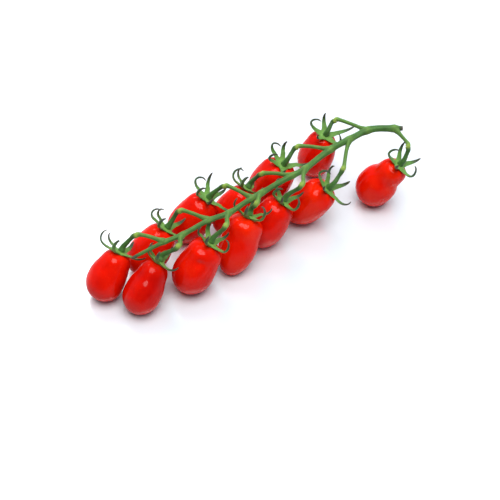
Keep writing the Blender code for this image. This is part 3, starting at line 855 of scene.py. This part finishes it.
stalkMake = {
    "sides": 18,
    "step": 0.4,
    "ribs": 5,
    "ribDepth": 0.05,
    "grain": 0.035,
    # places along it, and how full it is there
    "swell": ((0, 0.12, 0.30, 0.62, 0.88), (0.97, 0.93, 1.06, 1.25, 1.02)),
    "smoothing": 5,
    "endRadius": 2.25,
    "sink": 0.9,  # how far it goes into the calyx
    "knuckleWarmth": 0.85,
    "knuckleWarmReach": 1.0,
    "darkness": 0.30,
    "darkPlace": 3.2,
    "darkReach": 2.2,
    "light": 0.28,
    "endLight": 0.30,
    # painted shade: rib grooves darker and rib crests lighter in colour
    "paintedCrestLight": 0.06,
}


def growStalk(i, f, stem, green):
    # from the knuckle to the calyx, swelling where it joins the star
    points = np.vstack([stem["stalk"][:1] - stem["cut"] * layout["clearance"], stem["stalk"],
                        stem["stalk"][-1:] + f["axis"] * stalkMake["sink"]])
    path, along = smoothPath(points, stalkMake["step"])
    s = along / along[-1]
    places, fullness = stalkMake["swell"]
    sizes = [layout[name] * full for name, full in zip(
        ("knuckleRadius", "knuckleRadius", "stalkRadius", "stalkRadius", "stalkEndRadius"), fullness)]
    radii = np.interp(s, [*places, 1], [*sizes, stalkMake["endRadius"]])
    window = stalkMake["smoothing"]
    radii = np.convolve(np.pad(radii, window // 2, mode="edge"), np.ones(window) / window, mode="valid")
    bm = bmesh.new()

    def ribAt(a):
        return cos(stalkMake["ribs"] * a + 0.6 * i)

    def section(k, a):
        rib = 1 + stalkMake["ribDepth"] * s[k] * ribAt(a)
        rib += stalkMake["grain"] * noise.noise(Vector((cos(a) + i * 5, sin(a), along[k] * 0.45)))
        return radii[k] * rib * cos(a), radii[k] * rib * sin(a)

    def tintOf(k, a):
        warm = stalkMake["knuckleWarmth"] * hump(along[k], stalkMake["knuckleWarmReach"])
        dark = stalkMake["darkness"] * hump(along[k] - stalkMake["darkPlace"], stalkMake["darkReach"])
        light = stalkMake["light"] - dark + stalkMake["endLight"] * s[k] ** 2
        # painted shade in the grooves between the ribs, with the crests painted lighter
        light += stalkMake["paintedCrestLight"] * ribAt(a)
        return 0.0, float(warm), light

    startSide = vec(0, 0, 1) if abs(stem["cut"][2]) < 0.9 else vec(1, 0, 0)
    first, last = growAlong(bm, path, stalkMake["sides"], section, startSide, tintOf)
    closeEnds(bm, first, last)
    finishPiece("stalkSkin_%02d" % (i + 1), bm, green, "fruit_stalk_%02d" % (i + 1))


calyxMake = {
    "sides": 12,
    "step": 0.45,
    "sink": 0.5,  # how far the whole star settles into the fruit's dimple
    "settleReach": 6.0,
    "hubRadius": 3.7,
    "hubHeight": 1.5,
    "hubSteps": 30,
    "hubPoints": 0.40,  # how far the hub reaches out towards each sepal
    # the hub's outline from the top down, as parts of its radius and height
    "hubOutline": ((0, 1.15), (0.45, 1.08), (0.75, 0.9), (0.95, 0.6), (1, 0.3), (0.85, 0)),
    "rootShare": 0.55,  # how far inside the hub a sepal starts
    # along a sepal: places, and how wide, thick and cupped it is there
    "width": ((0, 0.12, 0.28, 0.60, 0.96, 1), (0.9, 1.5, 1.18, 1.12, 1.25, 0.35)),
    "thickness": ((0, 0.3, 0.9, 1), (1.5, 0.9, 0.6, 0.25)),
    "cup": ((0, 0.2, 0.7, 1), (0.0, 0.10, 0.26, 0.2)),
    "midrib": 0.7,
    "midribReach": 0.28,
    "thinEdge": 0.55,
    "edgeWander": 0.06,
    "faceWander": 0.05,
    "hubTint": (0, 0.12, 0.80, 1),
    "tipDryness": 0.85,
    "tipDryPlace": 0.42,
    "tipDrySpan": 0.58,
    "edgeDryness": 0.45,
    "edgeDryPlace": 0.2,
    "edgeDrySpan": 0.8,
    "warmth": 0.12,
    "light": 0.78,
    "lightFall": 0.55,
}


def growCalyx(i, f, paths, green):
    out, b, c = calyxFrame(f)
    drop = out * (layout["clearance"] + calyxMake["sink"])
    bm = bmesh.new()
    tint = bm.verts.layers.float_color.new("tint")
    bm.verts.layers.float.new("turn")
    # the hub: a low dome spun about the stalk
    h, r = calyxMake["hubHeight"], calyxMake["hubRadius"]
    outline = [bm.verts.new((r * wide, 0, h * high)) for wide, high in calyxMake["hubOutline"]]
    outline.append(bm.verts.new((0, 0, -0.2)))
    edges = [bm.edges.new(pair) for pair in zip(outline, outline[1:])]
    bmesh.ops.spin(bm, geom=outline + edges, cent=(0, 0, 0), axis=(0, 0, 1), angle=2 * pi,
                   steps=calyxMake["hubSteps"], use_merge=True)
    bmesh.ops.remove_doubles(bm, verts=bm.verts, dist=1e-4)
    phases = [radians(p[0]) for p in sepalTable[i]]
    for v in bm.verts:
        a = atan2(v.co.y, v.co.x)
        near = max(cos(a - p) for p in phases)
        grow = 1 + calyxMake["hubPoints"] * max(0, near - 0.75)
        v.co.x *= grow
        v.co.y *= grow
        v[tint] = calyxMake["hubTint"]
    place = standing(f["top"] + out * layout["clearance"] - drop, out)
    bmesh.ops.transform(bm, matrix=place, verts=bm.verts)
    for number, coarse in enumerate(paths):
        # each sepal starts inside the hub and settles from there onto its own path
        root = layout["calyxRadius"] * calyxMake["rootShare"]
        inner = coarse[0] - root * unit(coarse[1] - coarse[0])
        path, along = smoothPath(np.vstack([inner, coarse]), calyxMake["step"])
        s = along / along[-1]
        path = path - np.outer(hump(along, calyxMake["settleReach"]), drop)
        reach = np.clip((along - root) / (along[-1] - root), 0, 1)
        width = sepalWidth(reach) * np.interp(s, *calyxMake["width"])
        thick = np.interp(s, *calyxMake["thickness"])
        cup = np.interp(s, *calyxMake["cup"])
        phase = radians(sepalTable[i][number][0])
        startSide = -sin(phase) * b + cos(phase) * c
        seed = i * 11.0 + number * 3.7

        def section(k, a):
            edge = cos(a) ** 2
            wander = noise.noise(Vector((seed, along[k] * 0.5, cos(a))))
            x = width[k] / 2 * cos(a) * (1 + calyxMake["edgeWander"] * wander)
            y = thick[k] / 2 * sin(a) * (1 - calyxMake["thinEdge"] * edge)
            if sin(a) < 0:  # the midrib, on the back
                y *= 1 + calyxMake["midrib"] * hump(cos(a), calyxMake["midribReach"])
            y += cup[k] * width[k] / 2 * edge * 1.5
            wander = noise.noise(Vector((seed + 9, along[k] * 0.4, cos(a) * 1.2)))
            y += calyxMake["faceWander"] * width[k] * wander
            return x, y

        def tintOf(k, a):
            tip = max(0.0, (s[k] - calyxMake["tipDryPlace"]) / calyxMake["tipDrySpan"]) ** 0.9
            margin = max(0.0, (s[k] - calyxMake["edgeDryPlace"]) / calyxMake["edgeDrySpan"])
            margin *= calyxMake["edgeDryness"] * cos(a) ** 6
            dry = min(1, calyxMake["tipDryness"] * max(tip, margin))
            return dry, calyxMake["warmth"] * (1 - s[k]), calyxMake["light"] - calyxMake["lightFall"] * s[k]

        first, last = growAlong(bm, path, calyxMake["sides"], section, startSide, tintOf)
        closeEnds(bm, first, last)
    finishPiece("calyxSkin_%02d" % (i + 1), bm, green, "calyx_%02d" % (i + 1))


# floor, light and camera; azimuth 0 is straight in front, at -Y
stageMake = {
    "floorSize": 6.0,
    "floorGap": 0.00005,
    "floorColour": (0.66, 0.71, 0.76),
    "floorRoughness": 0.17,
    "floorSheen": 2.2,
    # a light tent, bright all round but for the opening on the camera's side
    "tentColour": (0.74, 0.88, 1.0),
    "tentStrength": 0.56,
    "openingStrength": 0.15,
    "openingCosines": (0.25, 0.80),
    # each lamp: azimuth and elevation towards it, how wide it looks in degrees, strength, colour,
    # whether gloss shows it
    "lamps": {
        "ceiling": (150, 58, 96, 1.9, (0.99, 0.995, 1.0), False),
        "topWindow": (-5, 78, 44, 3.3, (1.0, 0.985, 0.96), True),
        "backWindow": (165, 46, 16, 0.45, (1.0, 0.98, 0.95), True),
    },
    "lens": 94.2,
    "distance": 800.0,
    "azimuth": -35.0,
    "elevation": 50.0,
}


def towards(azimuth, elevation):
    az, el = radians(azimuth), radians(elevation)
    return Vector((sin(az) * cos(el), -cos(az) * cos(el), sin(el)))


def makeStage():
    bm = bmesh.new()
    bmesh.ops.create_grid(bm, x_segments=1, y_segments=1, size=stageMake["floorSize"] / 2)
    mesh = bpy.data.meshes.new("floor")
    bm.to_mesh(mesh)
    bm.free()
    floor = bpy.data.objects.new("floor", mesh)
    floor.location.z = -stageMake["floorGap"]
    bpy.context.scene.collection.objects.link(floor)
    material, tree, shader = newMaterial("paleFloor")
    shader.inputs["Base Color"].default_value = (*stageMake["floorColour"], 1)
    shader.inputs["Roughness"].default_value = stageMake["floorRoughness"]
    shader.inputs["IOR"].default_value = stageMake["floorSheen"]
    mesh.materials.append(material)

    world = bpy.data.worlds.new("lightTent")
    world.use_nodes = True
    tree = world.node_tree
    back = tree.nodes["Background"]
    back.inputs["Color"].default_value = (*stageMake["tentColour"], 1)
    direction = tree.nodes.new("ShaderNodeTexCoord").outputs["Generated"]
    facing = tree.nodes.new("ShaderNodeVectorMath")
    facing.operation = "DOT_PRODUCT"
    tree.links.new(direction, facing.inputs[0])
    facing.inputs[1].default_value = towards(stageMake["azimuth"], stageMake["elevation"])
    spread = tree.nodes.new("ShaderNodeMapRange")
    spread.interpolation_type = "SMOOTHSTEP"
    low, high = stageMake["openingCosines"]
    tree.links.new(facing.outputs["Value"], spread.inputs["Value"])
    spread.inputs["From Min"].default_value = low
    spread.inputs["From Max"].default_value = high
    spread.inputs["To Min"].default_value = stageMake["tentStrength"]
    spread.inputs["To Max"].default_value = stageMake["openingStrength"]
    tree.links.new(spread.outputs[0], back.inputs["Strength"])
    bpy.context.scene.world = world

    for name, (azimuth, elevation, width, strength, colour, inGloss) in stageMake["lamps"].items():
        data = bpy.data.lights.new(name, "SUN")
        data.angle = radians(width)
        data.energy = strength
        data.color = colour
        lamp = bpy.data.objects.new(name, data)
        lamp.location = towards(azimuth, elevation)
        lamp.visible_glossy = inGloss
        lamp.rotation_euler = (-towards(azimuth, elevation)).to_track_quat("-Z", "Y").to_euler()
        bpy.context.scene.collection.objects.link(lamp)

    target = Vector([-c * mm for c in origin])
    away = towards(stageMake["azimuth"], stageMake["elevation"])
    data = bpy.data.cameras.new("camera")
    data.lens = stageMake["lens"]
    data.sensor_width = 36
    data.clip_start = 0.01
    camera = bpy.data.objects.new("camera", data)
    camera.location = target + away * stageMake["distance"] * mm
    camera.rotation_euler = (-away).to_track_quat("-Z", "Y").to_euler()
    bpy.context.scene.collection.objects.link(camera)
    bpy.context.scene.camera = camera
    bpy.context.scene.view_settings.view_transform = "Standard"


makeStage()
print("stage set")
fruits = layFruit()
main, joints, stems, sepals = layStems(fruits)
print("layout ready")
skin = makeSkin()
stemGreen = makeGreen("stemGreen", 0.02)
stalkGreen = makeGreen("stalkGreen", -0.02)
leafGreen = makeGreen("leafGreen", 0.10)
for i, f in enumerate(fruits):
    growFruit(i, f, skin)
print("fruit grown")
growMainStem(main, joints, stemGreen)
dense, denseRadii = sampleTube(main["path"], main["radii"])
for i, (f, stem) in enumerate(zip(fruits, stems)):
    mainRadius = denseRadii[np.linalg.norm(dense - stem["start"], axis=1).argmin()]
    growSideStem(i, stem, mainRadius, stemGreen)
    growStalk(i, f, stem, stalkGreen)
    growCalyx(i, f, sepals[i], leafGreen)
print("stems grown")
